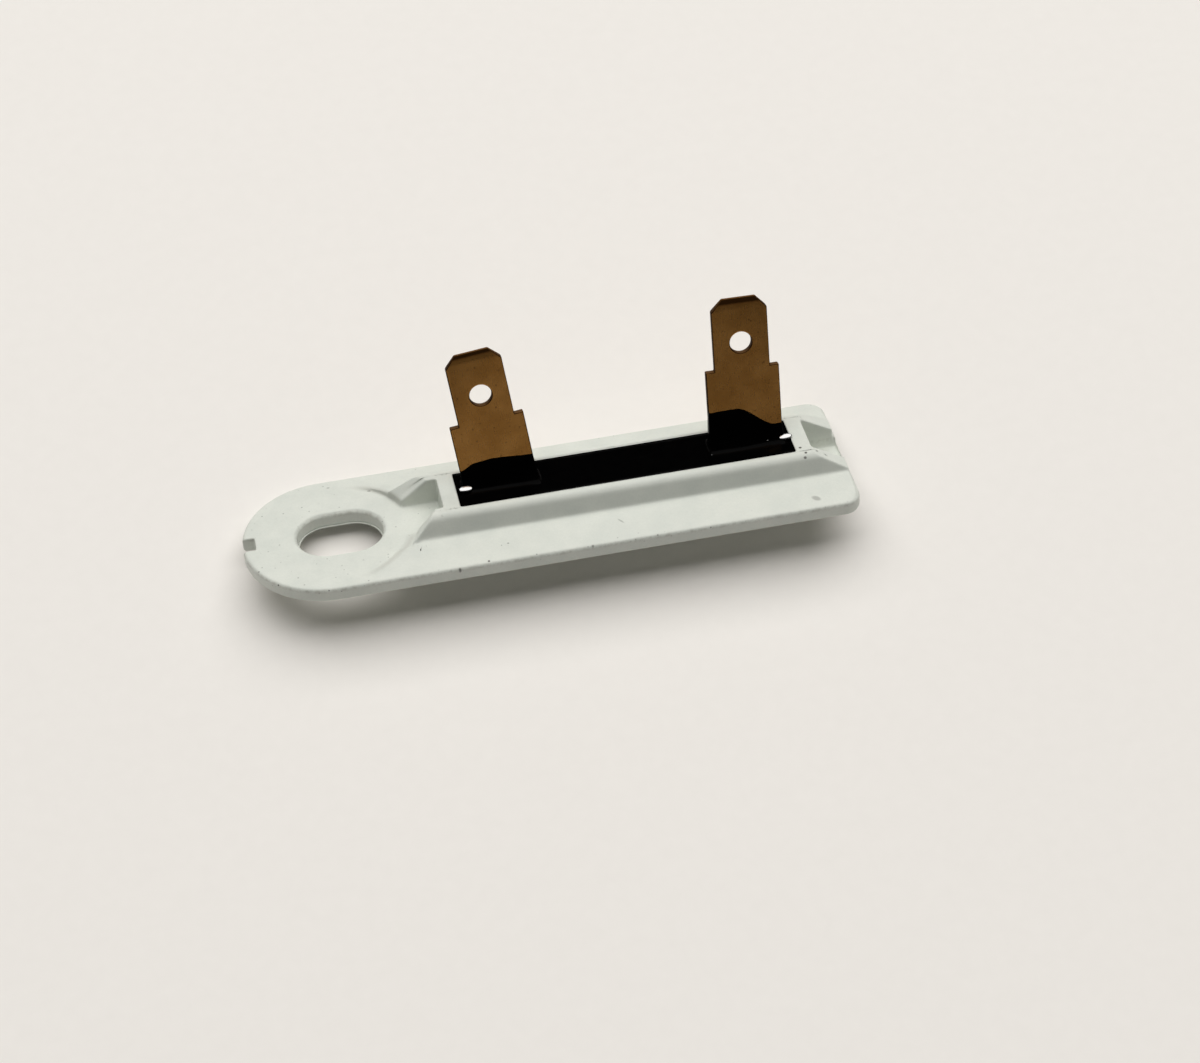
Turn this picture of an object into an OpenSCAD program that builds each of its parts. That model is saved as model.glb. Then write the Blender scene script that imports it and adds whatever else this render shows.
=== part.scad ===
// Thermal fuse: a one-shot thermal cut-off potted in a flanged moulded housing with two blade terminals.
// Millimetres. +X runs along the flange away from its slotted end, +Y to the back and +Z up.
// The origin is under the middle of the flange, on the lowest line of the hump.

/* [Flange] */
// Width of the flange, and diameter of its round end
flange_w = 19.2; // [17.6:0.2:24]
// Thickness of the flange at its edge
flange_t = 1.8; // [1.4:0.1:3]
// Radius of the corners at the square end
corner_r = 2; // [0.8:0.1:3]
// Rounding of the flange's edges
edge_r = 0.4; // [0.1:0.05:0.6]
// Rise of the flange's top from its edge to the walls of the well
shelf_rise = 0.8; // [0.2:0.1:1.2]

/* [Mounting slot] */
// Distance from the round end to the middle of the slot
slot_x = 11; // [10:0.1:12]
// Length of the slot
slot_l = 9.7; // [8:0.1:11]
// Width of the slot
slot_w = 7; // [4:0.1:7.6]
// Width of the slot's bevelled upper edge
slot_bevel = 0.35; // [0.1:0.05:0.6]
// Radius of the flat pad round the slot
pad_r = 7.85; // [6.5:0.05:8.4]
// Sideways run of the ribs' sloping noses for each unit of rise
nose_flare = 1.2; // [0.3:0.05:1.5]
// Distance from the middle of the slot to where the flange's top begins to rise
rise_x = 2.5; // [1:0.1:4]
// Length over which it rises
rise_l = 5.5; // [3:0.1:7]
// Width of the gate notch in the round end
notch_w = 2.1; // [1:0.1:3]
// Depth of the gate notch
notch_d = 1.5; // [0.5:0.1:2]
// Distance of the gate notch behind the middle of the flange
notch_y = 0.4; // [-1:0.1:1]

/* [Well] */
// Distance from the round end to the inside of the well
well_x = 24.5; // [23.5:0.1:28]
// Length of the well inside
well_l = 38.4; // [37:0.2:50]
// Width of the well inside
well_w = 6; // [5.4:0.1:7]
// Thickness of the long walls
wall_t = 1.85; // [1.2:0.05:2.2]
// Thickness of the end walls
end_wall_t = 1.9; // [1.2:0.1:2.5]
// Height of the rim above the flange's edge
rim_h = 3.25; // [2.6:0.05:5]
// Rounding of the rim's outer edges
rim_r = 0.7; // [0.2:0.05:1]
// Depth of the hump under the flange
hump_d = 2.7; // [1.7:0.1:4]
// Thickness of the hump's wall
floor_t = 1.2; // [0.8:0.1:1.3]
// Rounding of the hump's ends
hump_r = 1.1; // [0.4:0.1:1.5]

/* [End ribs] */
// Width between the ribs past each end wall
neck_w = 5.2; // [4:0.1:5.4]
// Length of the ribs from the end wall to the square end
tail_l = 4.2; // [3:0.1:7]
// Height of the ribs above the flange's rise at the square end
tail_h = 0.2; // [0.1:0.05:1]

/* [Resin] */
// Depth of the resin's top below the rim
fill_gap = 0.15; // [0.05:0.05:0.6]
// Height that the resin creeps up the left blade
creep_left_h = 3.2; // [0.5:0.1:4]
// Height that the resin creeps up the right blade
creep_right_h = 4.5; // [0.5:0.1:5]
// Height to which that creep falls at the blade's outer edge
creep_low_h = 2; // [0.3:0.1:3]
// Thickness of the resin on a blade's face where the creep starts
creep_foot = 1; // [0.3:0.1:1.2]
// Thickness of the resin on a blade's face where the creep ends
creep_top = 0.15; // [0.05:0.05:0.25]
// Gap left round the cut-off and its leads when the resin sets
bed_gap = 0.02; // [0.01:0.01:0.05]

/* [Blades] */
// Width of the tab that takes the connector
tab_w = 6.35; // [4.75:0.05:6.5]
// Length of the tab from shoulder to tip
tab_l = 8.45; // [7:0.05:10]
// Thickness of the blade
blade_t = 0.8; // [0.5:0.05:1]
// Width of the stem below the shoulders
stem_w = 8.4; // [7:0.1:9]
// Height of the shoulders above the lead
shoulder_h = 12.35; // [10:0.05:16]
// Width of the tip's flat end
tip_w = 3.8; // [2:0.1:4.5]
// Height of the tip's slanted corners
tip_h = 1.4; // [0.6:0.1:2]
// Height of the tip's bevel on each face
bevel_h = 1.1; // [0.4:0.1:2]
// Depth of the tip's bevel on each face
bevel_d = 0.25; // [0.05:0.05:0.3]
// Diameter of the detent hole
hole_d = 2.5; // [1.6:0.1:3]
// Distance of the detent hole's centre from the tip
hole_drop = 5.3; // [3.5:0.1:6]
// Width of the curl that grips the lead
curl_w = 4; // [2.5:0.1:6]
// Height above the lead where the curl's strap widens into the stem
strap_h = 2; // [1.8:0.1:3]
// Angle through which the curl wraps the lead
curl_angle = 285; // [220:5:300]
// Clearance between curl and lead
crimp_gap = 0.02; // [0.01:0.01:0.05]

/* [How the blades and the cut-off stand] */
// Distance from each end of the well to the middle of the next curl
blade_inset = 5.3; // [5.2:0.05:6]
// Distance of the cut-off's middle to the right of the well's middle
set_x = 0.25; // [-0.3:0.05:0.6]
// Distance of the cut-off's middle behind the well's middle
set_y = 0.35; // [0:0.05:0.6]
// Angle at which the cut-off lies in the well, right end up
set_tilt = 2.4; // [0:0.1:3]
// Angle at which the left blade leans to the back
lean_left = 12.5; // [0:0.5:15]
// Angle at which the right blade leans to the back
lean_right = 14.5; // [0:0.5:15]
// Angle by which the blades spread apart, each from square to the cut-off
splay = 3.5; // [0:0.5:5]
// Resin under the cut-off
bed_t = 0.5; // [0.4:0.05:0.7]

/* [Cut-off] */
// Radius of the can
can_r = 2; // [1.7:0.05:2.1]
// Length of the can
can_l = 11.5; // [11:0.1:13]
// Wall of the can
can_wall = 0.25; // [0.15:0.05:0.3]
// Thickness of the can's closed end
can_end = 0.4; // [0.2:0.05:0.6]
// Thickness of the lip rolled in at the can's open end
lip_t = 0.3; // [0.2:0.05:0.5]
// Depth of that lip inside the wall
lip_d = 0.3; // [0.15:0.05:0.4]
// Radius of the leads
lead_r = 0.5; // [0.4:0.02:0.55]
// Length of lead past each curl
lead_end = 0.6; // [0:0.1:1]
// Radius of the rivet head that holds the case lead
rivet_r = 0.9; // [0.8:0.05:1.2]
// Thickness of that rivet head
rivet_t = 0.3; // [0.2:0.05:0.5]
// Length of the pellet
pellet_l = 2.8; // [2:0.1:3]
// Thickness of the two pressure discs
disc_t = 0.2; // [0.1:0.05:0.3]
// Length of the barrel spring
barrel_l = 2.6; // [2:0.1:2.8]
// Radius of the barrel spring at the middle of its wire
barrel_r = 1.3; // [1:0.05:1.35]
// Radius of both springs' wire
spring_wire_r = 0.15; // [0.1:0.01:0.18]
// Thickness of the sliding contact
contact_t = 0.3; // [0.2:0.05:0.4]
// Number of fingers of the sliding contact
contact_fingers = 8; // [5:1:10]
// Width of the cuts between the fingers
finger_cut = 0.35; // [0.2:0.05:0.4]
// Radius of the isolated lead's head
head_r = 0.75; // [0.65:0.05:0.8]
// Thickness of that head
head_t = 0.5; // [0.3:0.05:0.8]
// Radius of the trip spring at the middle of its wire
trip_r = 1.15; // [1.05:0.05:1.25]
// Length of the ceramic bushing inside the can
bushing_l = 2.4; // [2:0.1:2.6]
// Radius of the bushing's nose
bushing_nose_r = 0.95; // [0.8:0.05:1.1]
// Length of the bushing's nose past the lip
bushing_nose_l = 0.7; // [0.4:0.1:0.9]
// Length of the seal's straight part
seal_l = 0.6; // [0.3:0.1:1]
// Slip between the pieces inside the can
slip = 0.04; // [0.02:0.01:0.06]

/* [Hidden] */
$fn = 48;
over = 1;
flange_l = well_x + well_l + end_wall_t + tail_l;
left_x = -flange_l / 2;
right_x = flange_l / 2;
round_x = left_x + flange_w / 2;
slot_mid_x = left_x + slot_x;
well_left = left_x + well_x;
well_right = well_left + well_l;
block_left = well_left - end_wall_t;
block_right = well_right + end_wall_t;
block_half = well_w / 2 + wall_t;
flange_z = hump_d;
top_z = hump_d + flange_t;
rim_z = top_z + rim_h;
fill_z = rim_z - fill_gap;
hump_round = (pow(block_half, 2) + pow(hump_d, 2)) / (2 * hump_d);

set_mid_x = (well_left + well_right) / 2 + set_x;
blade_gap = well_l - 2 * blade_inset;
lead_z = floor_t + bed_t + can_r;
curl_r = lead_r + crimp_gap;
tip_v = shoulder_h + tab_l;
lead_out = blade_gap / 2 + curl_w / 2 + lead_end;

bore_r = can_r - can_wall;
seal_r = can_r - can_wall / 2;
cutoff_l = can_l + seal_l + seal_r;
can_x = -cutoff_l / 2;
can_mouth_x = can_x + can_l;
pellet_x = can_x + can_end + rivet_t;
disc_x = pellet_x + pellet_l;
barrel_x = disc_x + disc_t;
disc2_x = barrel_x + barrel_l;
contact_x = disc2_x + disc_t;
head_x = contact_x + contact_t;
bushing_x = can_mouth_x - lip_t - bushing_l;
trip_l = bushing_x - head_x;

ivory = [0.86, 0.88, 0.84];
resin_black = [0.05, 0.05, 0.05];
bronze = [0.55, 0.38, 0.2];
brass = [0.78, 0.62, 0.32];
tinned = [0.75, 0.75, 0.74];
spring_steel = [0.6, 0.61, 0.63];
wax = [0.85, 0.78, 0.55];
china = [0.93, 0.92, 0.88];
seal_brown = [0.36, 0.22, 0.14];

// Lays a shape drawn in Y and Z along X from one place to another
module along_x(from, to) {
    translate([from, 0, 0])
        rotate([90, 0, 90])
            linear_extrude(to - from)
                children();
}

// Lays a shape drawn in X and Z across Y, the same to both sides of the middle
module across_y(width) {
    translate([0, width / 2, 0])
        rotate([90, 0, 0])
            linear_extrude(width)
                children();
}

// A shape and its mirror image about the middle plane
module both_sides() {
    children();
    mirror([0, 1, 0])
        children();
}

// Half section of the flange out to a rounded edge
module edge_section(reach) {
    square([reach - edge_r, flange_t]);
    translate([0, edge_r])
        square([reach, flange_t - 2 * edge_r]);
    for (z = [edge_r, flange_t - edge_r])
        translate([reach - edge_r, z])
            circle(edge_r);
}

// Outline of the flange seen from above, with its square end drawn in by an inset
module flange_plan(inset) {
    translate([round_x, 0])
        circle(d = flange_w);
    translate([round_x, -flange_w / 2])
        square([right_x - corner_r - round_x, flange_w]);
    translate([right_x - 2 * corner_r, corner_r - flange_w / 2])
        square([2 * corner_r - inset, flange_w - 2 * corner_r]);
    for (y = [corner_r - flange_w / 2, flange_w / 2 - corner_r])
        translate([right_x - corner_r, y])
            circle(corner_r - inset);
}

// Flange with its edges rounded all round
module flange() {
    translate([0, 0, flange_z]) {
        translate([round_x, 0, 0])
            rotate([0, 0, 90])
                rotate_extrude(angle = 180)
                    edge_section(flange_w / 2);
        along_x(round_x, right_x - corner_r) {
            edge_section(flange_w / 2);
            mirror([1, 0])
                edge_section(flange_w / 2);
        }
        translate([right_x - corner_r, 0, 0])
            across_y(flange_w - 2 * corner_r)
                edge_section(corner_r);
        both_sides()
            translate([right_x - corner_r, flange_w / 2 - corner_r, 0])
                rotate_extrude(angle = 90)
                    edge_section(corner_r);
    }
}

// The flange's top rises towards the walls and into them, and fades into the pad
module shelf() {
    start = slot_mid_x + rise_x;
    foot = flange_w / 2 - edge_r;
    root = block_half - wall_t / 4;
    root_h = shelf_rise * (foot - root) / (foot - block_half);
    intersection() {
        translate([0, 0, top_z]) {
            intersection() {
                along_x(start, right_x)
                    polygon([[-foot, 0], [-root, root_h], [root, root_h], [foot, 0]]);
                across_y(flange_w)
                    polygon([
                        [start, 0], [start + rise_l * root_h / shelf_rise, root_h],
                        [right_x, root_h], [right_x, 0]
                    ]);
            }
        }
        translate([0, 0, flange_z])
            linear_extrude(flange_t + rim_h)
                flange_plan(edge_r);
    }
}

// Section across the walls with both upper edges rounded, and its top at zero height
module wall_section(half, depth) {
    translate([-half, -depth])
        square([2 * half, depth - rim_r]);
    translate([-half + rim_r, -depth])
        square([2 * (half - rim_r), depth]);
    for (y = [rim_r - half, half - rim_r])
        translate([y, -rim_r])
            circle(rim_r);
}

// Wall round the well, with its long outer edges rounded. It runs on as ribs past both ends of the well,
// down to the nose at one end and sloping to the tail at the other.
module wall_bar() {
    tail_x = right_x - edge_r;
    tail_z = top_z + shelf_rise + tail_h;
    difference() {
        along_x(slot_mid_x + pad_r / 2, tail_x)
            translate([0, rim_z])
                wall_section(block_half, rim_z - flange_z);
        across_y(2 * flange_w)
            polygon([
                [block_right, rim_z], [tail_x, tail_z], [tail_x + over, tail_z],
                [tail_x + over, rim_z + over], [block_right, rim_z + over]
            ]);
    }
}

// Side view of the hump, with its two lower corners rounded
module hump_side() {
    translate([block_left, hump_r])
        square([block_right - block_left, hump_d - hump_r + flange_t / 2]);
    translate([block_left + hump_r, 0])
        square([block_right - block_left - 2 * hump_r, 2 * hump_r]);
    for (x = [block_left + hump_r, block_right - hump_r])
        translate([x, hump_r])
            circle(hump_r);
}

// Closed hump under the flange, round across like the cut-off that lies in it
module hump() {
    intersection() {
        translate([0, 0, hump_round])
            rod(block_left, block_right, hump_round);
        across_y(flange_w)
            hump_side();
    }
}

// Space inside the well up to a given height, with its bottom round like the hump
module well_form(top) {
    intersection() {
        translate([well_left, -well_w / 2, 0])
            cube([well_l, well_w, top]);
        union() {
            translate([0, 0, hump_round])
                rod(well_left - over, well_right + over, hump_round - floor_t);
            translate([well_left - over, -well_w, hump_d + flange_t / 2])
                cube([well_l + 2 * over, 2 * well_w, top]);
        }
    }
}

// Flat pad round the slot, cut square out of the rise and on a slope out of the ribs' noses
module pad_cut() {
    cut_h = rim_h - shelf_rise + over;
    translate([slot_mid_x, 0, top_z]) {
        cylinder(r = pad_r, h = shelf_rise);
        translate([0, 0, shelf_rise])
            cylinder(r1 = pad_r, r2 = pad_r + nose_flare * cut_h, h = cut_h);
    }
}

// Gaps between the ribs at both ends
module neck_cut() {
    for (span = [[slot_mid_x, block_left], [block_right, right_x + over]])
        translate([span[0], -neck_w / 2, top_z])
            cube([span[1] - span[0], neck_w, rim_h + over]);
}

// Slotted hole through the flange, with its upper edge bevelled
module slot_cut() {
    straight = slot_l - slot_w;
    half = slot_w / 2;
    wide = half + slot_bevel + over;
    translate([slot_mid_x, 0, 0]) {
        translate([0, 0, flange_z - over])
            linear_extrude(flange_t + 2 * over) {
                square([straight, slot_w], center = true);
                for (x = [-straight / 2, straight / 2])
                    translate([x, 0])
                        circle(half);
            }
        along_x(-straight / 2, straight / 2)
            polygon([
                [-half, top_z - slot_bevel], [half, top_z - slot_bevel],
                [wide, top_z + over], [-wide, top_z + over]
            ]);
        for (x = [-straight / 2, straight / 2])
            translate([x, 0, top_z - slot_bevel])
                cylinder(r1 = half, r2 = wide, h = slot_bevel + over);
    }
}

// Gate notch in the round end
module notch_cut() {
    translate([left_x - over, notch_y - notch_w / 2, flange_z - over])
        cube([notch_d + over, notch_w, flange_t + 2 * over]);
}

module housing() {
    color(ivory)
        difference() {
            union() {
                flange();
                difference() {
                    union() {
                        shelf();
                        wall_bar();
                    }
                    pad_cut();
                    neck_cut();
                }
                hump();
            }
            well_form(rim_z + over);
            slot_cut();
            notch_cut();
        }
}

// Places a shape drawn along X about the leads' axis
module on_lead() {
    translate([set_mid_x, set_y, lead_z])
        rotate([0, -set_tilt, 0])
            children();
}

// Places a blade drawn upright over the leads' axis. Side is -1 at the left and 1 at the right.
module at_blade(side) {
    lean = side < 0 ? lean_left : lean_right;
    on_lead()
        translate([side * blade_gap / 2, 0, 0])
            rotate([-lean, 0, 0])
                children();
}

// Outline of the flat part of a blade
module blade_outline() {
    difference() {
        polygon([
            [-stem_w / 2, strap_h], [stem_w / 2, strap_h], [stem_w / 2, shoulder_h],
            [tab_w / 2, shoulder_h], [tab_w / 2, tip_v - tip_h], [tip_w / 2, tip_v],
            [-tip_w / 2, tip_v], [-tab_w / 2, tip_v - tip_h], [-tab_w / 2, shoulder_h],
            [-stem_w / 2, shoulder_h]
        ]);
        translate([0, tip_v - hole_drop])
            circle(d = hole_d);
    }
}

// Section of the blade through its thickness, with both faces bevelled at the tip
module blade_section() {
    polygon([
        [-blade_t / 2, 0], [blade_t / 2, 0], [blade_t / 2, tip_v - bevel_h],
        [blade_t / 2 - bevel_d, tip_v], [bevel_d - blade_t / 2, tip_v], [-blade_t / 2, tip_v - bevel_h]
    ]);
}

// Stamped blade: the flat part spread sideways, its strap and the curl round the lead
module blade(side) {
    translate([0, -curl_r - blade_t / 2, 0]) {
        rotate([0, side * splay, 0])
            intersection() {
                across_y(blade_t)
                    blade_outline();
                along_x(-stem_w, stem_w)
                    blade_section();
            }
        across_y(blade_t)
            translate([-curl_w / 2, 0])
                square([curl_w, strap_h + curl_w / 2]);
    }
    rotate([0, 90, 0])
        rotate([0, 0, -90])
            rotate_extrude(angle = curl_angle)
                translate([curl_r, -curl_w / 2])
                    square([blade_t, curl_w]);
}

module terminal_left() {
    color(bronze)
        at_blade(-1)
            blade(-1);
}

module terminal_right() {
    color(bronze)
        at_blade(1)
            blade(1);
}

// Resin that creeps up both faces of a blade, wide at its foot and thin at its top.
// It reaches its full height at the blade's inner half, and falls towards the outer edge.
module creep(side, high, low) {
    fill_v = fill_z - lead_z;
    top = blade_t / 2 + creep_top;
    foot = blade_t / 2 + creep_foot;
    half = stem_w / 2 + creep_top;
    at_blade(side)
        translate([0, -curl_r - blade_t / 2, 0])
            rotate([0, side * splay, 0])
                intersection() {
                    along_x(-half, half)
                        polygon([
                            [-foot, fill_v - creep_foot], [foot, fill_v - creep_foot], [foot, fill_v],
                            [top, fill_v + high], [-top, fill_v + high], [-foot, fill_v]
                        ]);
                    across_y(4 * foot)
                        polygon([
                            [-side * stem_w, 0], [-side * stem_w, fill_v + high], [0, fill_v + high],
                            [side * half / 2, fill_v + low], [side * stem_w, fill_v + low],
                            [side * stem_w, 0]
                        ]);
                }
}

module potting() {
    color(resin_black)
        difference() {
            union() {
                well_form(fill_z);
                creep(-1, creep_left_h, creep_left_h);
                creep(1, creep_right_h, creep_low_h);
            }
            for (side = [-1, 1])
                at_blade(side)
                    blade(side);
            on_lead() {
                rod(-lead_out - bed_gap, lead_out + bed_gap, lead_r + crimp_gap);
                rod(can_x - bed_gap, can_mouth_x + bed_gap, can_r + bed_gap);
                seal_form(bed_gap);
            }
        }
}

// Round rod along the leads' axis
module rod(from, to, r) {
    translate([from, 0, 0])
        rotate([0, 90, 0])
            cylinder(r = r, h = to - from);
}

// Turns a section about the leads' axis: its X is the radius and its Y runs along the axis
module turned() {
    rotate([0, 90, 0])
        rotate_extrude()
            children();
}

// Outer form of the end seal, enlarged by a gap
module seal_form(gap) {
    rod(can_mouth_x, can_mouth_x + seal_l, seal_r + gap);
    translate([can_mouth_x + seal_l, 0, 0])
        sphere(seal_r + gap);
}

// Drawn can: closed at the left end, with a lip rolled in over the bushing at the right
module cutoff_case() {
    hole_r = lead_r + slip;
    lip_r = bore_r - lip_d;
    color(brass)
        on_lead()
            turned()
                polygon([
                    [hole_r, can_x], [can_r, can_x], [can_r, can_mouth_x], [lip_r, can_mouth_x],
                    [lip_r, can_mouth_x - lip_t], [bore_r, can_mouth_x - lip_t],
                    [bore_r, can_x + can_end], [hole_r, can_x + can_end]
                ]);
}

// Wire riveted into the can's closed end
module case_lead() {
    color(tinned)
        on_lead() {
            rod(-lead_out, can_x + can_end, lead_r);
            rod(can_x + can_end, pellet_x, rivet_r);
        }
}

// Pellet that stays solid up to the rated temperature
module thermal_pellet() {
    color(wax)
        on_lead()
            rod(pellet_x, disc_x, bore_r - slip);
}

// Disc between the pellet and the barrel spring
module pellet_disc() {
    color(spring_steel)
        on_lead()
            rod(disc_x, barrel_x, bore_r - slip);
}

// Disc between the barrel spring and the sliding contact
module contact_disc() {
    color(spring_steel)
        on_lead()
            rod(disc2_x, contact_x, bore_r - slip);
}

// Coil spring along the leads' axis, swept as rings of points square to its wire
module coil(from, length, r, turns) {
    steps_per_turn = 14;
    sides = 8;
    steps = turns * steps_per_turn;
    wire_r = spring_wire_r;
    rise = length - 2 * wire_r - 2 * slip;
    pitch_angle = atan2(rise, 2 * PI * r * turns);
    points = [
        for (i = [0:steps])
            let (a = 360 * i / steps_per_turn, x = from + slip + wire_r + rise * i / steps)
                for (j = [0:sides - 1])
                    let (
                        b = 360 * j / sides,
                        out = r + wire_r * cos(b),
                        back = -wire_r * sin(b) * sin(pitch_angle),
                        up = wire_r * sin(b) * cos(pitch_angle)
                    )
                        [x + up, out * cos(a) - back * sin(a), out * sin(a) + back * cos(a)]
    ];
    walls = [
        for (i = [0:steps - 1])
            for (j = [0:sides - 1])
                let (k = (j + 1) % sides)
                    [i * sides + j, i * sides + k, (i + 1) * sides + k, (i + 1) * sides + j]
    ];
    first = [for (j = [sides - 1:-1:0]) j];
    last = [for (j = [0:sides - 1]) steps * sides + j];
    polyhedron(points, concat(walls, [first, last]), convexity = 4);
}

// Spring that presses the contact against the isolated lead
module barrel_spring() {
    color(spring_steel)
        on_lead()
            coil(barrel_x, barrel_l, barrel_r, 5);
}

// Star-shaped contact that bridges the can and the isolated lead
module sliding_contact() {
    color(tinned)
        on_lead()
            translate([contact_x, 0, 0])
                rotate([90, 0, 90])
                    linear_extrude(contact_t)
                        difference() {
                            circle(bore_r - slip);
                            for (i = [0:contact_fingers - 1])
                                rotate(i * 360 / contact_fingers)
                                    translate([head_r + 2 * slip, -finger_cut / 2])
                                        square([bore_r, finger_cut]);
                        }
}

// Weaker spring that pulls the contact away once the pellet has melted
module trip_spring() {
    color(spring_steel)
        on_lead()
            coil(head_x, trip_l, trip_r, 3);
}

// Bushing that keeps the isolated lead clear of the can, with a nose through the lip
module ceramic_bushing() {
    hole_r = lead_r + slip;
    body_r = bore_r - slip;
    nose_x = can_mouth_x + bushing_nose_l;
    color(china)
        on_lead()
            turned()
                polygon([
                    [hole_r, bushing_x], [body_r, bushing_x], [body_r, can_mouth_x - lip_t],
                    [bushing_nose_r, can_mouth_x - lip_t], [bushing_nose_r, nose_x], [hole_r, nose_x]
                ]);
}

// Headed wire that runs out through the bushing and the seal
module isolated_lead() {
    color(tinned)
        on_lead() {
            rod(head_x, head_x + head_t, head_r);
            rod(head_x, lead_out, lead_r);
        }
}

// Resin bead over the bushing and the can's lip
module end_seal() {
    color(seal_brown)
        on_lead()
            difference() {
                intersection() {
                    seal_form(0);
                    rod(can_mouth_x, can_mouth_x + cutoff_l, can_r);
                }
                rod(can_mouth_x - over, can_mouth_x + cutoff_l, lead_r + slip);
                rod(can_mouth_x - over, can_mouth_x + bushing_nose_l, bushing_nose_r);
            }
}

housing();
potting();
terminal_left();
terminal_right();
cutoff_case();
case_lead();
thermal_pellet();
pellet_disc();
barrel_spring();
contact_disc();
sliding_contact();
trip_spring();
ceramic_bushing();
isolated_lead();
end_seal();
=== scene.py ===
"""Looks of the thermal fuse: a pale moulded housing, black potting resin and two bronzed blades."""
import math

import bmesh
import bpy
from mathutils import Matrix, Vector
from mathutils import noise as turbulence


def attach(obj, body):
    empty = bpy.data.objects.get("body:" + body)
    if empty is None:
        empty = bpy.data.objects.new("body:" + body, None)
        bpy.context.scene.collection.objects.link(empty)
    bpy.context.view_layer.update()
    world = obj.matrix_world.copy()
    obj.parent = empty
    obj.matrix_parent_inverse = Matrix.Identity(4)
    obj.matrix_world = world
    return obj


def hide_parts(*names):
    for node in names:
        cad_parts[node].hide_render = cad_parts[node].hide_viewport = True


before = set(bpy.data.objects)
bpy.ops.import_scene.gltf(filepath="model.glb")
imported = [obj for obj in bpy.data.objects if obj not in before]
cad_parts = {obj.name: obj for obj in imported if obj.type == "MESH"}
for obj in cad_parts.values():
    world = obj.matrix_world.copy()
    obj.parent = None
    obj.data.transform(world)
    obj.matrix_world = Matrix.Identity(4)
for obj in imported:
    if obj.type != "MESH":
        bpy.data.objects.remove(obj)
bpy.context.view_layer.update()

MM = 0.001
PER_MM = 1 / MM

# Photograph: its width and focal length in pixels, and where its camera stands
PHOTO_W = 1200
FOCAL_PX = 2983
AIM = Vector((4.75, -7.37, 4.5)) * MM
AIM_DISTANCE = 332 * MM
CAMERA_YAW = math.radians(9.5)
CAMERA_ELEVATION = math.radians(39.55)
CAMERA_ROLL = math.radians(-3.39)
SENSOR_W = 36
CLIP_START = 0.01

# Light and floor, in metres and watts. The room glows along its horizon and is dark above it.
KEY_PLACE = (0.1, 0.12, 1.5)
KEY_SIZES = (2.7, 1.75)
KEY_POWER = 38.0
KEY_COLOUR = (1.0, 0.985, 0.96)
ROOM_COLOUR = (0.98, 0.98, 1.0, 1)
HORIZON_GLOW, ROOM_GLOW = 0.3, 0.035
GLOW_REACH = 0.3
FLOOR_HALF = 3.0

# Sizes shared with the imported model, in millimetres
FLANGE_W = 19.2
FLANGE_T = 1.8
EDGE_R = 0.4
SHELF_RISE = 0.8
HUMP_D = 2.7
BLOCK_HALF = 4.85
WELL_LEFT, WELL_RIGHT = -10.0, 28.4
WELL_W = 6.0
END_WALL = 1.9
RIM_H = 3.25
RIM_R = 0.7
NECK_W = 5.2
PAD_R = 7.85
SLOT_MID_X = -23.5
SLOT_L, SLOT_W = 9.7, 7.0
FILL_GAP = 0.15
FLANGE_TOP = HUMP_D + FLANGE_T
SHELF = FLANGE_TOP + SHELF_RISE
RIM = FLANGE_TOP + RIM_H
FILL = RIM - FILL_GAP

# Forms that the dressed housing adds, in millimetres: the grid it is rebuilt on and the walls' draft
GRID = 0.12
GRID_PASSES = 4
KEPT_SHARE = 0.3
WALL_DRAFT = 0.85
DRAFT_IN, DRAFT_OUT = WELL_W / 2 + 0.1, BLOCK_HALF - 0.75

# The ribs' noses: where they start, how they rise from the pad's rim, and how they are rounded
NOSE_START = -17.4
NOSE_GAP = 0.1
NOSE_RUN = 3.9
NOSE_CURVE = 1.7
NOSE_STEP = 0.25
NOSE_LOW = 0.35
NOSE_BURIED = 0.3
NOSE_ROOT = 0.5
NOSE_INSET = 0.02
NOSE_GRID = (40, 16)
NOSE_PASSES = 7
ROUND_FROM, ROUND_TO = -17.8, -12.3
ROUND_IN, ROUND_OUT = 1.9, 5.6
ROUND_LOW = FLANGE_TOP + 0.12

# The front nose is drawn back between two places along the part and two across it
NOSE_TRIM = 1.4
TRIM_FROM, TRIM_TO = -17.6, -12.4
TRIM_RUN = 4.4
TRIM_IN, TRIM_OUT = 2.0, 6.0
TRIM_FADE = 0.8
TRIM_LOW, TRIM_HIGH = FLANGE_TOP + 0.1, FLANGE_TOP + 0.4

# The pocket in the right end
POCKET_SINK = 1.2
POCKET_START = WELL_RIGHT + END_WALL - 0.1
POCKET_FULL = 31.0
POCKET_FADE = 0.25
POCKET_OVERLAP = 0.02
POCKET_LOW, POCKET_HIGH = FLANGE_TOP + 0.1, FLANGE_TOP + 0.45

# Flash round the slot's lower edge, and the bevel on the blades' edges
FLASH_IN, FLASH_OUT = 0.14, 0.1
FLASH_LOW, FLASH_HIGH = 0.02, 0.1
BLADE_BEVEL = 0.13
BLADE_BEVEL_STEPS = 3
WELD = 0.002
FLAT_ANGLE, SHARP_ANGLE = math.radians(1), math.radians(40)

# How the blades stand in the resin
SET_MID = Vector((9.45, 0.35, 3.7))
SET_TILT = math.radians(2.4)
SPLAY = math.radians(3.5)
BLADE_GAP = 27.8
BLADE_T = 0.8
BLADE_BACK = 0.92
STEM_W = 8.4
LEANS = {-1: math.radians(12.5), 1: math.radians(14.5)}

# The resin: its grid, how far it creeps up each blade, and how fast that dies away beside it
RESIN_STEP = 0.1
CREEP_LEFT, CREEP_RIGHT = 3.2, 4.95
CREEP_BACK_SHARE = 0.7
CREEP_FADE = 0.25
CREEP_REACH = 3
SIDE_STRETCH = 3.5
WALL_CREEP = 0.1
SWELL, RIPPLE = 0.03, 0.015
CALM_EDGE = 0.6
RESIN_CREASE = math.radians(70)
SKIN_GLOSS = 0.003

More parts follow.
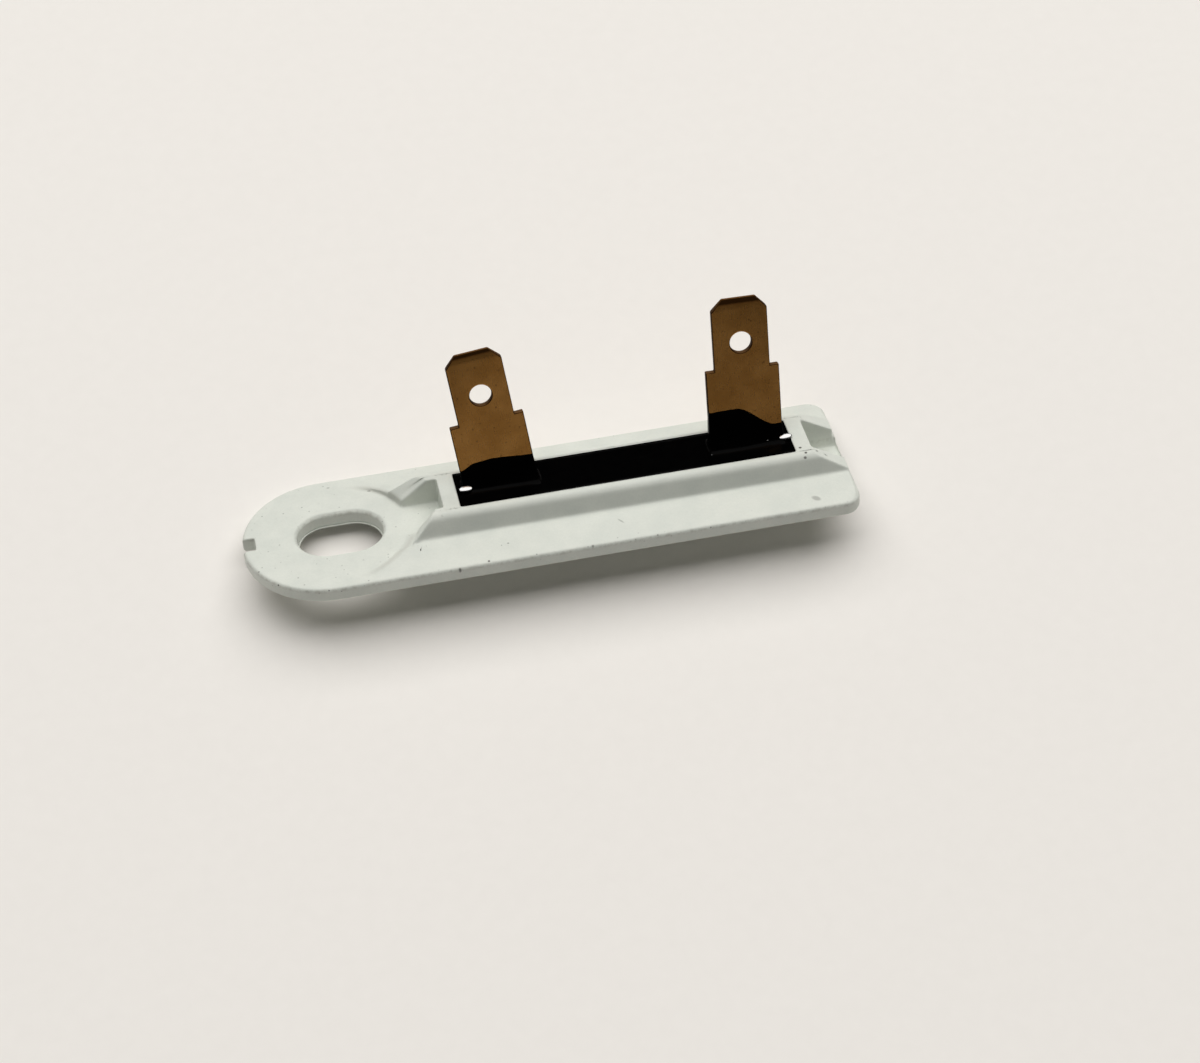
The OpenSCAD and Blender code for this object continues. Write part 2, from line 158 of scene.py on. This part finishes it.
# Glossy drops on the resin: place, half sizes, turn about the vertical, and gloss
DROPS = (
    ((-9.0, -0.52, 8.1), (0.74, 0.38, 0.11), 0, 1.0),
    ((27.85, -0.45, 8.05), (0.75, 0.36, 0.12), 8, 1.0),
    ((26.2, -0.2, 8.0), (0.7, 0.13, 0.06), 35, 0.3),
    ((19.2, -1.1, 7.6), (0.22, 0.16, 0.08), 0, 0.25),
)
DROP_TILT = math.radians(25)

# Marks on the moulding, specks of dirt but for the last, which is painted shade in the notch at the left
# end: place, half length, half width, turn and darkness
MARKS = (
    ((29.0, -2.5, RIM), 0.19, 0.17, 0, 1.0),
    ((29.4, -3.5, RIM), 0.18, 0.15, 20, 1.0),
    ((29.2, -4.0, RIM - 0.3), 0.2, 0.14, 0, 0.8),
    ((-5.6, -7.2, 4.9), 0.14, 0.12, 0, 0.5),
    ((29.4, -8.1, 4.7), 0.6, 0.35, -35, 0.4),
    ((7.3, -6.7, 5.0), 0.5, 0.12, -50, 0.35),
    ((-8.15, -9.23, 4.4), 0.16, 0.14, 0, 0.95),
    ((-11.46, -9.5, 4.1), 0.2, 0.16, 0, 0.8),
    ((-23.74, 8.21, 4.5), 0.2, 0.14, 0, 0.35),
    ((-19.3, 6.4, 4.6), 0.25, 0.1, -20, 0.5),
    ((3.5, -9.45, 4.2), 0.2, 0.14, 0, 0.6),
    # Painted shade in the notch at the left end
    ((-33.5, 0.2, 3.95), 1.5, 1.1, 0, 0.3),
)
MARK_DEPTH = 0.35


def ease(value, low, high):
    """Smooth step from 0 to 1 between two values."""
    t = min(max((value - low) / (high - low), 0), 1)
    return t * t * (3 - 2 * t)


def steps(low, high, count):
    """Evenly spaced values from low to high."""
    return [low + (high - low) * i / count for i in range(count + 1)]


def millimetres(vertex):
    """A vertex's place in millimetres."""
    return tuple(c * PER_MM for c in vertex.co)


def add(tree, kind, inputs=None, **settings):
    """Adds a shader node, applies its settings, and feeds each input from a socket or a plain value."""
    made = tree.nodes.new(kind)
    for name, value in settings.items():
        setattr(made, name, value)
    for name, value in (inputs or {}).items():
        if isinstance(value, bpy.types.NodeSocket):
            tree.links.new(value, made.inputs[name])
        else:
            made.inputs[name].default_value = value
    return made


def new_material(name, **values):
    """A material with its shader's plain numbers set, as (material, tree, shader)."""
    made = bpy.data.materials.new(name)
    made.use_nodes = True
    shader = made.node_tree.nodes["Principled BSDF"]
    for socket, value in values.items():
        shader.inputs[socket.replace("_", " ")].default_value = value
    return made, made.node_tree, shader


def place_mm(tree, stretch=(1, 1, 1)):
    """Position on the object in millimetres, as a socket."""
    settings = {
        "Vector": add(tree, "ShaderNodeTexCoord").outputs["Object"],
        "Scale": tuple(PER_MM * s for s in stretch),
    }
    return add(tree, "ShaderNodeMapping", settings).outputs["Vector"]


def noise(tree, place, scale, detail=3.0, roughness=0.5):
    """Cloudy noise with so many cells a millimetre."""
    settings = {"Vector": place, "Scale": scale, "Detail": detail, "Roughness": roughness}
    return add(tree, "ShaderNodeTexNoise", settings).outputs["Fac"]


def spread(tree, value, low, high, to_low=0.0, to_high=1.0):
    """Stretches a value's range onto another and keeps it inside."""
    inputs = {"Value": value, "From Min": low, "From Max": high, "To Min": to_low, "To Max": to_high}
    return add(tree, "ShaderNodeMapRange", inputs).outputs["Result"]


def mix(tree, share, first, second):
    """Blend of two colours by a share. The node's colours are its inputs 6 and 7 and its output 2."""
    return add(tree, "ShaderNodeMix", {0: share, 6: first, 7: second}, data_type="RGBA").outputs[2]


def math_node(tree, operation, *values):
    """One sum of shader arithmetic."""
    inputs = dict(enumerate(values))
    return add(tree, "ShaderNodeMath", inputs, operation=operation).outputs["Value"]


def distance(tree, value, centre):
    """How far a value is from another, whichever is larger."""
    return math_node(tree, "ABSOLUTE", math_node(tree, "SUBTRACT", value, centre))


def length_of(tree, vector):
    """Length of a vector."""
    return add(tree, "ShaderNodeVectorMath", {0: vector}, operation="LENGTH").outputs["Value"]


def bump(tree, shader, height, strength, depth):
    """Feeds a height in as surface relief of a given depth."""
    made = add(tree, "ShaderNodeBump", {"Height": height, "Strength": strength, "Distance": depth})
    tree.links.new(made.outputs["Normal"], shader.inputs["Normal"])


def marks(tree, place):
    """Darkness of the marks on the moulding, specks of dirt and the painted shade in the notch, each soft
    at its edge, as a socket.
    """
    found = 0.0
    for centre, length, width, turn, dark in MARKS:
        settings = {
            "Vector": place,
            "Location": centre,
            "Rotation": (0, 0, math.radians(turn)),
            "Scale": (length, width, MARK_DEPTH),
        }
        local = add(tree, "ShaderNodeMapping", settings, vector_type="TEXTURE").outputs["Vector"]
        mark = spread(tree, length_of(tree, local), 0.6, 1.1, dark, 0.0)
        found = math_node(tree, "MAXIMUM", found, mark)
    return found


def pad_rim_painted_shade(tree, place):
    """Painted shade: a thin dark band along the low step round the pad, on the side of the well, as a
    socket.
    """
    parts = add(tree, "ShaderNodeSeparateXYZ", {"Vector": place}).outputs
    past_slot = math_node(tree, "SUBTRACT", parts["X"], SLOT_MID_X)
    flat = add(tree, "ShaderNodeCombineXYZ", {"X": past_slot, "Y": parts["Y"]}).outputs["Vector"]
    rim = spread(tree, parts["Y"], -3.0, 0.0, PAD_R + 0.45, PAD_R)
    off_rim = distance(tree, length_of(tree, flat), rim)
    aside = math_node(tree, "ABSOLUTE", parts["Y"])
    off_shelf = distance(tree, parts["Z"], FLANGE_TOP + 0.3)
    limits = (
        spread(tree, past_slot, 1.0, 4.0),
        spread(tree, aside, NECK_W / 2 - 0.1, NECK_W / 2 + 0.8),
        spread(tree, off_shelf, 0.5, 0.8, 1.0, 0.0),
    )
    band = spread(tree, off_rim, 0.08, 0.5, 0.24, 0.0)
    for limit in limits:
        band = math_node(tree, "MULTIPLY", band, limit)
    return band


def moulded_plastic():
    """Pale greenish-white moulding, mottled, with specks of dirt that gather along the flange's edges, a
    painted shade band along the pad's rim step and painted shade in the notch.
    """
    shade, light = (0.665, 0.695, 0.64, 1), (0.715, 0.74, 0.68, 1)
    grain_grey, haze_and_shade_brown = (0.42, 0.45, 0.41, 1), (0.30, 0.28, 0.23, 1)
    dirt_and_shade_black = (0.07, 0.065, 0.055, 1)
    made, tree, shader = new_material("moulded_plastic", IOR=1.5, Specular_IOR_Level=0.4)
    place = place_mm(tree)
    mottle = noise(tree, place, 0.35, 4.0)
    tone = mix(tree, spread(tree, mottle, 0.35, 0.65), shade, light)
    grain = spread(tree, noise(tree, place, 3.5, 3.0, 0.7), 0.3, 0.7)
    tone = mix(tree, math_node(tree, "MULTIPLY", grain, 0.12), tone, grain_grey)

    height = add(tree, "ShaderNodeSeparateXYZ", {"Vector": place}).outputs["Z"]
    off_edge = distance(tree, height, FLANGE_TOP - 0.3)
    haze_and_rim_shade = spread(tree, noise(tree, place, 1.6, 4.0, 0.65), 0.42, 0.64, 0.0, 0.42)
    haze_and_rim_shade = math_node(tree, "MULTIPLY", spread(tree, off_edge, 0.0, 0.32, 1.0, 0.0), haze_and_rim_shade)
    # Painted shade along the pad's rim step joins the brown mottle near the flange's edge.
    haze_and_rim_shade = math_node(tree, "MAXIMUM", haze_and_rim_shade, pad_rim_painted_shade(tree, place))
    tone = mix(tree, haze_and_rim_shade, tone, haze_and_shade_brown)

    cells = add(tree, "ShaderNodeTexVoronoi", {"Vector": place, "Scale": 1.3})
    dots = spread(tree, cells.outputs["Distance"], 0.10, 0.16, 1.0, 0.0)
    near_edge = spread(tree, off_edge, 0.0, 0.5, 1.0, 0.0)
    patchy = spread(tree, noise(tree, place, 0.5, 2.0), 0.46, 0.58)
    rare = spread(tree, noise(tree, place, 0.23, 1.0), 0.72, 0.76, 0.0, 0.4)
    amount = math_node(tree, "MAXIMUM", math_node(tree, "MULTIPLY", near_edge, patchy), rare)
    # Dirt dots and the marks darken the tone; the marks carry the painted shade in the notch.
    dirt_and_shade = math_node(tree, "MAXIMUM", math_node(tree, "MULTIPLY", dots, amount), marks(tree, place))
    tree.links.new(mix(tree, dirt_and_shade, tone, dirt_and_shade_black), shader.inputs["Base Color"])

    tree.links.new(spread(tree, mottle, 0.3, 0.7, 0.42, 0.55), shader.inputs["Roughness"])
    bump(tree, shader, noise(tree, place, 4.0, 4.0, 0.6), 0.25, 0.05 * MM)
    return made


def potting_resin(name, gloss):
    """Black resin, from a dull skin to a full gloss."""
    dark, light = (0.0003, 0.0003, 0.0004, 1), (0.001, 0.0009, 0.0008, 1)
    made, tree, shader = new_material(name, IOR=2.6, Specular_IOR_Level=gloss)
    cloud = noise(tree, place_mm(tree), 0.8, 3.0)
    tree.links.new(mix(tree, cloud, dark, light), shader.inputs["Base Color"])
    tree.links.new(spread(tree, cloud, 0.3, 0.7, 0.14, 0.2), shader.inputs["Roughness"])
    return made


def bronzed_brass():
    """Brass stamping gone brown, with faint rolling marks along it and darker spots; its edge faces are
    painted dark as shade, less dark where they face up.
    """
    dark, light = (0.44, 0.205, 0.05, 1), (0.56, 0.275, 0.075, 1)
    spot_brown = (0.16, 0.07, 0.02, 1)
    side_edge_shade, top_edge_shade = (0.03, 0.011, 0.003, 1), (0.16, 0.08, 0.03, 1)
    made, tree, shader = new_material("bronzed_brass", Metallic=1.0)
    place = place_mm(tree)
    stain = noise(tree, place, 0.35, 4.0, 0.6)
    tone = mix(tree, spread(tree, stain, 0.35, 0.68), dark, light)
    cells = add(tree, "ShaderNodeTexVoronoi", {"Vector": place, "Scale": 1.0})
    spots = spread(tree, cells.outputs["Distance"], 0.05, 0.16, 0.6, 0.0)
    tone = mix(tree, spots, tone, spot_brown)

    normal = add(tree, "ShaderNodeTexCoord").outputs["Normal"]
    facing = add(tree, "ShaderNodeSeparateXYZ", {"Vector": normal}).outputs
    # Painted shade: faces off the blade's broad sides, its edges, are painted dark and rougher, less dark
    # where they face up.
    edge_faces = spread(tree, math_node(tree, "ABSOLUTE", facing["Y"]), 0.92, 0.955, 0.96, 0.0)
    edge = mix(tree, spread(tree, facing["Z"], 0.6, 0.95), side_edge_shade, top_edge_shade)
    tree.links.new(mix(tree, edge_faces, tone, edge), shader.inputs["Base Color"])

    lines = noise(tree, place_mm(tree, (3.0, 3.0, 0.25)), 2.5, 3.0)
    polish = spread(tree, lines, 0.3, 0.7, 0.26, 0.32)
    roughness = math_node(tree, "MULTIPLY_ADD", edge_faces, 0.45, polish)
    tree.links.new(roughness, shader.inputs["Roughness"])
    bump(tree, shader, lines, 0.06, 0.02 * MM)
    return made


def clouded(tree, shader, cloud, tones, roughness, swing):
    """Feeds two tones and a range of roughness into a shader by one cloudy noise."""
    tree.links.new(mix(tree, cloud, *tones), shader.inputs["Base Color"])
    polish = spread(tree, cloud, 0.3, 0.7, roughness - swing, roughness + swing)
    tree.links.new(polish, shader.inputs["Roughness"])


def fine_metal(name, dark, light, roughness):
    """Small metal piece: two tones clouded together and fine drawing marks."""
    made, tree, shader = new_material(name, Metallic=1.0)
    clouded(tree, shader, noise(tree, place_mm(tree), 1.2, 3.0), (dark, light), roughness, 0.06)
    bump(tree, shader, noise(tree, place_mm(tree, (0.3, 4, 4)), 3.0), 0.15, 0.01 * MM)
    return made


def fine_solid(name, dark, light, roughness, grain):
    """Small non-metal piece: two tones clouded together and a fine grain."""
    made, tree, shader = new_material(name, IOR=1.5)
    cloud = noise(tree, place_mm(tree), grain, 4.0)
    clouded(tree, shader, cloud, (dark, light), roughness, 0.08)
    bump(tree, shader, cloud, 0.2, 0.02 * MM)
    return made


def new_object(name, data):
    """A new object in the scene."""
    made = bpy.data.objects.new(name, data)
    bpy.context.scene.collection.objects.link(made)
    return made


def paint(piece, material):
    """Gives a piece one material."""
    piece.data.materials.clear()
    piece.data.materials.append(material)


def new_piece(name, mesh, material, node=None):
    """A finished mesh as a piece of the part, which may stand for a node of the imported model."""
    piece = new_object(name, mesh)
    paint(piece, material)
    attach(piece, "root")
    if node:
        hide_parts(node)


def finished_mesh(shape, name):
    """A built shape as a mesh. The shape itself goes."""
    mesh = bpy.data.meshes.new(name)
    shape.to_mesh(mesh)
    shape.free()
    return mesh


def loose_piece(shape):
    """A built shape as an object of its own, for modifiers to work on."""
    mesh = finished_mesh(shape, "loose")
    for name in [a.name for a in mesh.attributes if a.name == "custom_normal"]:
        mesh.attributes.remove(mesh.attributes[name])
    return new_object("loose", mesh)


def baked(piece):
    """The mesh that an object's modifiers make. The object itself goes."""
    graph = bpy.context.evaluated_depsgraph_get()
    mesh = bpy.data.meshes.new_from_object(piece.evaluated_get(graph))
    bpy.data.objects.remove(piece)
    return mesh


def bevelled(node, width, segments):
    """Copy of a node's solid with its sharp edges rounded to a given width."""
    shape = bmesh.new()
    shape.from_mesh(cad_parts[node].data)
    bmesh.ops.remove_doubles(shape, verts=shape.verts, dist=WELD * MM)
    bmesh.ops.dissolve_limit(
        shape, angle_limit=FLAT_ANGLE, verts=shape.verts, edges=shape.edges, delimit={"NORMAL"}
    )
    piece = loose_piece(shape)
    rounding = piece.modifiers.new("rounding", "BEVEL")
    rounding.width = width
    rounding.segments = segments
    rounding.limit_method = "ANGLE"
    rounding.angle_limit = SHARP_ANGLE
    rounding.use_clamp_overlap = False
    evened = piece.modifiers.new("evened", "WEIGHTED_NORMAL")
    evened.weight = 100
    evened.keep_sharp = True
    piece.data.shade_smooth()
    return baked(piece)


def close_block(shape, grid, bottom):
    """Closes a grid of points, which is a block's top, with plain sides and a flat bottom."""
    for left, right in zip(grid, grid[1:]):
        for j in range(len(left) - 1):
            shape.faces.new((left[j], right[j], right[j + 1], left[j + 1]))
    rim = [line[0] for line in grid] + grid[-1][1:]
    rim += [line[-1] for line in grid[-2::-1]] + grid[0][-2:0:-1]
    foot = [shape.verts.new((v.co.x, v.co.y, bottom * MM)) for v in rim]
    for k, v in enumerate(rim):
        n = (k + 1) % len(rim)
        shape.faces.new((v, foot[k], foot[n], rim[n]))
    shape.faces.new(foot[::-1])


def nose_point(x, y):
    """Place on a rib's nose, which rises steeply from the pad's rim and rounds over near the top."""
    run = (math.hypot(x - SLOT_MID_X, y) - PAD_R - NOSE_GAP) / NOSE_RUN
    if run < 0:
        return Vector((x, y, FLANGE_TOP - NOSE_BURIED)) * MM
    rise = 1 - (1 - min(run, 1)) ** NOSE_CURVE
    past_flat = max(abs(y) - BLOCK_HALF + RIM_R, 0)
    edge_drop = RIM_R - math.sqrt(max(RIM_R ** 2 - past_flat ** 2, 0))
    height = FLANGE_TOP + NOSE_STEP + (RIM - NOSE_LOW - FLANGE_TOP) * rise - edge_drop * rise
    return Vector((x, y, height)) * MM


def housing_shape():
    """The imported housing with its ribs' noses added."""
    shape = bmesh.new()
    shape.from_mesh(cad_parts["housing"].data)
    for side in (-1, 1):
        xs = steps(NOSE_START, WELL_LEFT - END_WALL / 2, NOSE_GRID[0])
        ys = sorted(steps(side * NECK_W / 2, side * (BLOCK_HALF - NOSE_INSET), NOSE_GRID[1]))
        grid = [[shape.verts.new(nose_point(x, y)) for y in ys] for x in xs]
        close_block(shape, grid, FLANGE_TOP - NOSE_ROOT)
    return shape


def softened(shape, cell, passes, share):
    """Copy of a solid, rebuilt on a fine grid so that each edge gets a moulding's small rounding."""
    piece = loose_piece(shape)
    grid = piece.modifiers.new("grid", "REMESH")
    grid.mode = "VOXEL"
    grid.voxel_size = cell
    soft = piece.modifiers.new("soft", "SMOOTH")
    soft.iterations = passes
    thinned = piece.modifiers.new("thinned", "DECIMATE")
    thinned.ratio = share
    mesh = baked(piece)
    mesh.shade_smooth()
    return mesh


def lean_walls(mesh):
    """Leans the long walls' outer faces in towards the rim, as a moulding's draft does."""
    for v in mesh.vertices:
        x, y, z = millimetres(v)
        if z > SHELF and x > SLOT_MID_X:
            lean = min((z - SHELF) / (RIM - SHELF), 1) * ease(abs(y), DRAFT_IN, DRAFT_OUT)
            v.co.y = math.copysign(abs(y) - WALL_DRAFT * lean, y) * MM


def sink_pocket(mesh):
    """Sinks the floor of the pocket between the ribs of the right end, which is open to that end."""
    mid_flange = HUMP_D + FLANGE_T / 2
    for v in mesh.vertices:
        x, y, z = millimetres(v)
        if x > POCKET_START and z > mid_flange:
            low = ease(-z, -POCKET_HIGH, -POCKET_LOW)
            inside = ease(-abs(y), -NECK_W / 2 - POCKET_OVERLAP, POCKET_FADE - NECK_W / 2)
            past_wall = ease(x, POCKET_START, POCKET_FULL)
            above = min((z - mid_flange) / (FLANGE_T / 2), 1)
            v.co.z = (z - POCKET_SINK * low * inside * past_wall * above) * MM


def trim_front_nose(mesh):
    """Draws the front rib's nose back from the pad, which reaches further under it than under the other."""
    for v in mesh.vertices:
        x, y, z = millimetres(v)
        if TRIM_FROM < x < TRIM_TO and TRIM_IN < -y < TRIM_OUT and z > TRIM_LOW:
            across = ease(-y, TRIM_IN, NECK_W / 2) * ease(y, -TRIM_OUT, TRIM_FADE - TRIM_OUT)
            share = ease(z, TRIM_LOW, TRIM_HIGH) * across
            v.co.x += NOSE_TRIM * share * min((TRIM_TO - x) / TRIM_RUN, 1) * MM


def round_noses(mesh):
    """Rounds the ribs' noses over, so that no ridge is left between their faces."""
    shape = bmesh.new()
    shape.from_mesh(mesh)
    near = []
    for v in shape.verts:
        x, y, z = millimetres(v)
        if ROUND_FROM < x < ROUND_TO and ROUND_IN < abs(y) < ROUND_OUT and z > ROUND_LOW:
            near.append(v)
    for _ in range(NOSE_PASSES):
        bmesh.ops.smooth_vert(
            shape, verts=near, factor=0.5, use_axis_x=True, use_axis_y=True, use_axis_z=True
        )
    shape.to_mesh(mesh)
    shape.free()


def housing_moulding():
    """The dressed housing: softened, with its draft, sunk pocket and rounded noses."""
    mesh = softened(housing_shape(), GRID * MM, GRID_PASSES, KEPT_SHARE)
    lean_walls(mesh)
    sink_pocket(mesh)
    trim_front_nose(mesh)
    round_noses(mesh)
    return mesh


def slot_outline(inset, count=24):
    """Points round the slot, drawn in by an inset, in millimetres."""
    r = SLOT_W / 2 - inset
    reach = (SLOT_L - SLOT_W) / 2
    points = []
    for end, start in ((1, 0), (-1, math.pi)):
        for i in range(count + 1):
            angle = math.pi / 2 * (2 * i / count - 1) + start
            points.append((SLOT_MID_X + end * reach + r * math.cos(angle), r * math.sin(angle)))
    return points


def slot_flash():
    """Thin lip of flash left by the mould along the slot's lower edge."""
    inner, outer = slot_outline(FLASH_IN), slot_outline(-FLASH_OUT)
    low, high = HUMP_D + FLASH_LOW, HUMP_D + FLASH_HIGH
    shape = bmesh.new()
    rings = []
    for points, z in ((outer, low), (inner, low), (inner, high), (outer, high)):
        rings.append([shape.verts.new(Vector((x, y, z)) * MM) for x, y in points])
    for a, b in zip(rings, rings[1:] + rings[:1]):
        for k in range(len(a)):
            n = (k + 1) % len(a)
            shape.faces.new((a[k], a[n], b[n], b[k]))
    bmesh.ops.recalc_face_normals(shape, faces=shape.faces)
    return finished_mesh(shape, "slot_flash")


def blade_frame(side):
    """Frame of a blade, in millimetres: X across it, Y through it and Z up along it from the lead."""
    return (
        Matrix.Translation(SET_MID)
        @ Matrix.Rotation(-SET_TILT, 4, "Y")
        @ Matrix.Translation((side * BLADE_GAP / 2, 0, 0))
        @ Matrix.Rotation(-LEANS[side], 4, "X")
        @ Matrix.Translation((0, -BLADE_BACK, 0))
        @ Matrix.Rotation(side * SPLAY, 4, "Y")
    )


def creep_height(side, across, through):
    """How far the resin has crept up a blade, at a place across its width and on its front or back.

    On the left blade it climbs a little to the right and drops off at the left edge.
    On the right blade it is highest left of the middle and falls away to the right.
    """
    if side < 0:
        high = CREEP_LEFT + 0.25 * ease(across, -4, 3) - 0.7 * ease(-across, 2.4, 4.2)
    else:
        high = CREEP_RIGHT - 0.25 * ease(across, -1.5, -4.2) - 2.9 * ease(across, -1.0, 3.6)
    return high if through < 0 else CREEP_BACK_SHARE * high


def resin_point(x, y, frames):
    """Place on the resin's top: level, slightly wavy, drawn up the blades and, a little, up the walls."""
    swell = SWELL * turbulence.noise((0.35 * x, 0.5 * y, 0))
    ripple = RIPPLE * turbulence.noise((1.3 * x, 1.6 * y, 3))
    from_wall = min(x - WELL_LEFT, WELL_RIGHT - x, y + WELL_W / 2, WELL_W / 2 - y)
    wave = (swell + ripple) * ease(from_wall, 0, CALM_EDGE)
    point = Vector((x, y, FILL + wave + WALL_CREEP * math.exp(-from_wall / CREEP_FADE)))
    for side, (place, inverse) in frames.items():
        local = inverse @ point
        aside = SIDE_STRETCH * max(abs(local.x) - STEM_W / 2, 0)
        away = max(abs(local.y) - BLADE_T / 2, 0)
        gap = math.hypot(aside, away)
        if gap < CREEP_REACH:
            rise = creep_height(side, local.x, local.y) * math.exp(-gap / CREEP_FADE)
            point += rise * place.to_3x3().col[2]
    return point * MM


def resin_body():
    """Cast resin in the well as a closed mesh: a fine grid on top, plain sides and a flat bottom."""
    frames = {side: (blade_frame(side), blade_frame(side).inverted()) for side in LEANS}
    xs = steps(WELL_LEFT, WELL_RIGHT, round((WELL_RIGHT - WELL_LEFT) / RESIN_STEP))
    rows = round(WELL_W / RESIN_STEP)
    ys = [WELL_W * (j / rows - 0.5) for j in range(rows + 1)]
    shape = bmesh.new()
    top = [[shape.verts.new(resin_point(x, y, frames)) for y in ys] for x in xs]
    close_block(shape, top, FLANGE_TOP)
    mesh = finished_mesh(shape, "resin_body")
    mesh.shade_smooth()
    mesh.set_sharp_from_angle(angle=RESIN_CREASE)
    return mesh


def resin_drop(place, sizes, turn):
    """Flat drop of resin that leans to the front."""
    shape = bmesh.new()
    form = Matrix.LocRotScale(None, None, Vector(sizes) * MM)
    lie = Matrix.Rotation(math.radians(turn), 4, "Z") @ Matrix.Rotation(DROP_TILT, 4, "X")
    seat = Matrix.Translation(Vector(place) * MM) @ lie @ form
    bmesh.ops.create_uvsphere(shape, u_segments=32, v_segments=20, radius=1, matrix=seat)
    mesh = finished_mesh(shape, "resin_drop")
    mesh.shade_smooth()
    return mesh


def place_camera():
    """Camera where the photograph's stood, turned by its yaw, elevation and roll."""
    level = math.cos(CAMERA_ELEVATION)
    sunk = -math.sin(CAMERA_ELEVATION)
    forward = Vector((math.sin(CAMERA_YAW) * level, math.cos(CAMERA_YAW) * level, sunk))
    right = forward.cross(Vector((0, 0, 1))).normalized()
    up = right.cross(forward)
    rolled_right = math.cos(CAMERA_ROLL) * right + math.sin(CAMERA_ROLL) * up
    rolled_up = rolled_right.cross(forward)
    data = bpy.data.cameras.new("camera")
    data.sensor_width = SENSOR_W
    data.lens = SENSOR_W * FOCAL_PX / PHOTO_W
    data.clip_start = CLIP_START
    camera = new_object("camera", data)
    turn = Matrix((rolled_right, rolled_up, -forward)).transposed().to_4x4()
    camera.matrix_world = Matrix.Translation(AIM - forward * AIM_DISTANCE) @ turn
    bpy.context.scene.camera = camera


def floor_under_part():
    """Height and roll of the floor under the part, which lies on its round hump and the flange's edge."""
    hump_r = (BLOCK_HALF ** 2 + HUMP_D ** 2) / (2 * HUMP_D)
    back = FLANGE_W / 2 - EDGE_R
    drop = hump_r - (HUMP_D + EDGE_R)
    roll = math.asin((hump_r - EDGE_R) / math.hypot(back, drop)) - math.atan2(drop, back)
    return hump_r * (1 - 1 / math.cos(roll)), roll


def key_light():
    """One broad softbox over the part that looks at it, with its first size along X."""
    data = bpy.data.lights.new("key", "AREA")
    data.shape = "RECTANGLE"
    data.size, data.size_y = KEY_SIZES
    data.energy = KEY_POWER
    data.color = KEY_COLOUR
    lamp = new_object("key", data)
    back = Vector(KEY_PLACE).normalized()
    up = back.cross((1, 0, 0)).normalized()
    turn = Matrix((up.cross(back), up, back)).transposed().to_4x4()
    lamp.matrix_world = Matrix.Translation(KEY_PLACE) @ turn


def light_the_room():
    """A room that is dark but for a paler band along the floor's horizon."""
    world = bpy.data.worlds.new("world")
    bpy.context.scene.world = world
    world.use_nodes = True
    tree = world.node_tree
    roll = floor_under_part()[1]
    sky = add(tree, "ShaderNodeTexCoord").outputs["Generated"]
    up = (0, -math.sin(roll), math.cos(roll))
    rise = add(tree, "ShaderNodeVectorMath", {0: sky, 1: up}, operation="DOT_PRODUCT").outputs["Value"]
    background = tree.nodes["Background"]
    background.inputs["Color"].default_value = ROOM_COLOUR
    glow = spread(tree, rise, 0.0, GLOW_REACH, HORIZON_GLOW, ROOM_GLOW)
    tree.links.new(glow, background.inputs["Strength"])


def lay_floor():
    """Plain pale floor under the part."""
    shade, light = (0.86, 0.835, 0.80, 1), (0.89, 0.865, 0.83, 1)
    height, roll = floor_under_part()
    mesh = bpy.data.meshes.new("floor")
    corners = [(FLOOR_HALF * i, FLOOR_HALF * j, 0) for i, j in ((-1, -1), (1, -1), (1, 1), (-1, 1))]
    mesh.from_pydata(corners, [], [(0, 1, 2, 3)])
    mesh.transform(Matrix.Translation((0, 0, height * MM)) @ Matrix.Rotation(roll, 4, "X"))
    floor = new_object("floor", mesh)
    made, tree, shader = new_material("floor_card", IOR=1.4, Specular_IOR_Level=0.2, Roughness=0.8)
    grain = noise(tree, place_mm(tree), 0.6, 4.0)
    tree.links.new(mix(tree, grain, shade, light), shader.inputs["Base Color"])
    paint(floor, made)


def paint_inner_pieces():
    """Materials of the cut-off inside the resin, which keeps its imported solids."""
    brass = fine_metal("drawn_brass", (0.52, 0.36, 0.12, 1), (0.68, 0.50, 0.20, 1), 0.35)
    tinned = fine_metal("tinned_wire", (0.52, 0.52, 0.50, 1), (0.66, 0.66, 0.63, 1), 0.38)
    steel = fine_metal("drawn_steel", (0.36, 0.37, 0.39, 1), (0.52, 0.53, 0.55, 1), 0.32)
    silver = fine_metal("silver_plate", (0.70, 0.69, 0.66, 1), (0.82, 0.81, 0.78, 1), 0.25)
    wax = fine_solid("pressed_wax", (0.62, 0.50, 0.26, 1), (0.74, 0.63, 0.38, 1), 0.6, 2.5)
    china = fine_solid("unglazed_china", (0.78, 0.75, 0.68, 1), (0.86, 0.84, 0.78, 1), 0.55, 3.0)
    sealant = fine_solid("brown_sealant", (0.11, 0.05, 0.025, 1), (0.19, 0.09, 0.05, 1), 0.3, 1.5)
    looks = {
        "cutoff_case": brass, "case_lead": tinned, "isolated_lead": tinned, "thermal_pellet": wax,
        "pellet_disc": steel, "contact_disc": steel, "barrel_spring": steel, "trip_spring": steel,
        "sliding_contact": silver, "ceramic_bushing": china, "end_seal": sealant,
    }
    for node, material in looks.items():
        paint(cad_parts[node], material)


def main():
    """Sets up the camera, light and floor, and dresses the part."""
    place_camera()
    key_light()
    light_the_room()
    lay_floor()

    plastic = moulded_plastic()
    new_piece("housing_moulding", housing_moulding(), plastic, "housing")
    new_piece("slot_flash", slot_flash(), plastic)
    new_piece("resin_body", resin_body(), potting_resin("resin_skin", SKIN_GLOSS), "potting")
    for i, (place, sizes, turn, gloss) in enumerate(DROPS):
        name = f"resin_drop_{i + 1}"
        new_piece(name, resin_drop(place, sizes, turn), potting_resin(name, gloss))
    bronze = bronzed_brass()
    for side in ("left", "right"):
        node = "terminal_" + side
        blade = bevelled(node, BLADE_BEVEL * MM, BLADE_BEVEL_STEPS)
        new_piece("blade_" + side, blade, bronze, node)
    paint_inner_pieces()

    bpy.context.scene.view_settings.view_transform = "Standard"


main()
